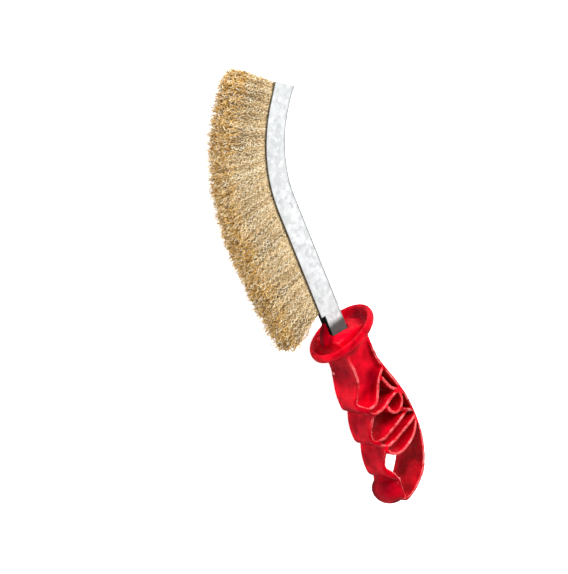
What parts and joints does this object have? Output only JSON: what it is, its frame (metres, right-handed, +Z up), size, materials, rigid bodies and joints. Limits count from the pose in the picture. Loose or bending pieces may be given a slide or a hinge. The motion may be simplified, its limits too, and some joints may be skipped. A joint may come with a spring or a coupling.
{
  "type": "wire brush",
  "caption": "Curved hand wire brush with crimped brassed wires in a bent steel channel and a moulded red pistol-style grip with an open lattice.",
  "frame": {"origin": "centre of the overall bounding box at the surface the brush lies on", "axes": "+X runs along the brush from the handle to the head, +Y is the way the wires point, +Z is up; the brush lies on its side on the collar's rim and its wire tips"},
  "size_m": [0.2806, 0.0738, 0.0352],
  "materials": {
    "handle": "glossy moulded red plastic",
    "channel": "galvanised sheet with faint spangle",
    "wires": "brassed crimped steel wire, dull"
  },
  "bodies": {
    "root": {"handle": "handle", "channel": "channel", "core_wire": "channel", "wire_bundle_01": "wires", "wire_bundle_02": "wires", "wire_bundle_03": "wires", "wire_bundle_04": "wires", "wire_bundle_05": "wires", "wire_bundle_06": "wires", "wire_bundle_07": "wires", "wire_bundle_08": "wires", "wire_bundle_09": "wires", "wire_bundle_10": "wires", "wire_bundle_11": "wires", "wire_bundle_12": "wires", "wire_bundle_13": "wires", "wire_bundle_14": "wires", "wire_bundle_15": "wires", "wire_bundle_16": "wires", "wire_bundle_17": "wires", "wire_bundle_18": "wires", "wire_bundle_19": "wires", "wire_bundle_20": "wires", "wire_bundle_21": "wires", "wire_bundle_22": "wires", "wire_bundle_23": "wires", "wire_bundle_24": "wires", "wire_bundle_25": "wires", "wire_bundle_26": "wires", "wire_bundle_27": "wires", "wire_bundle_28": "wires", "wire_bundle_29": "wires", "wire_bundle_30": "wires", "wire_bundle_31": "wires", "wire_bundle_32": "wires", "wire_bundle_33": "wires", "wire_bundle_34": "wires", "wire_bundle_35": "wires", "wire_bundle_36": "wires"}
  },
  "joints": []
}
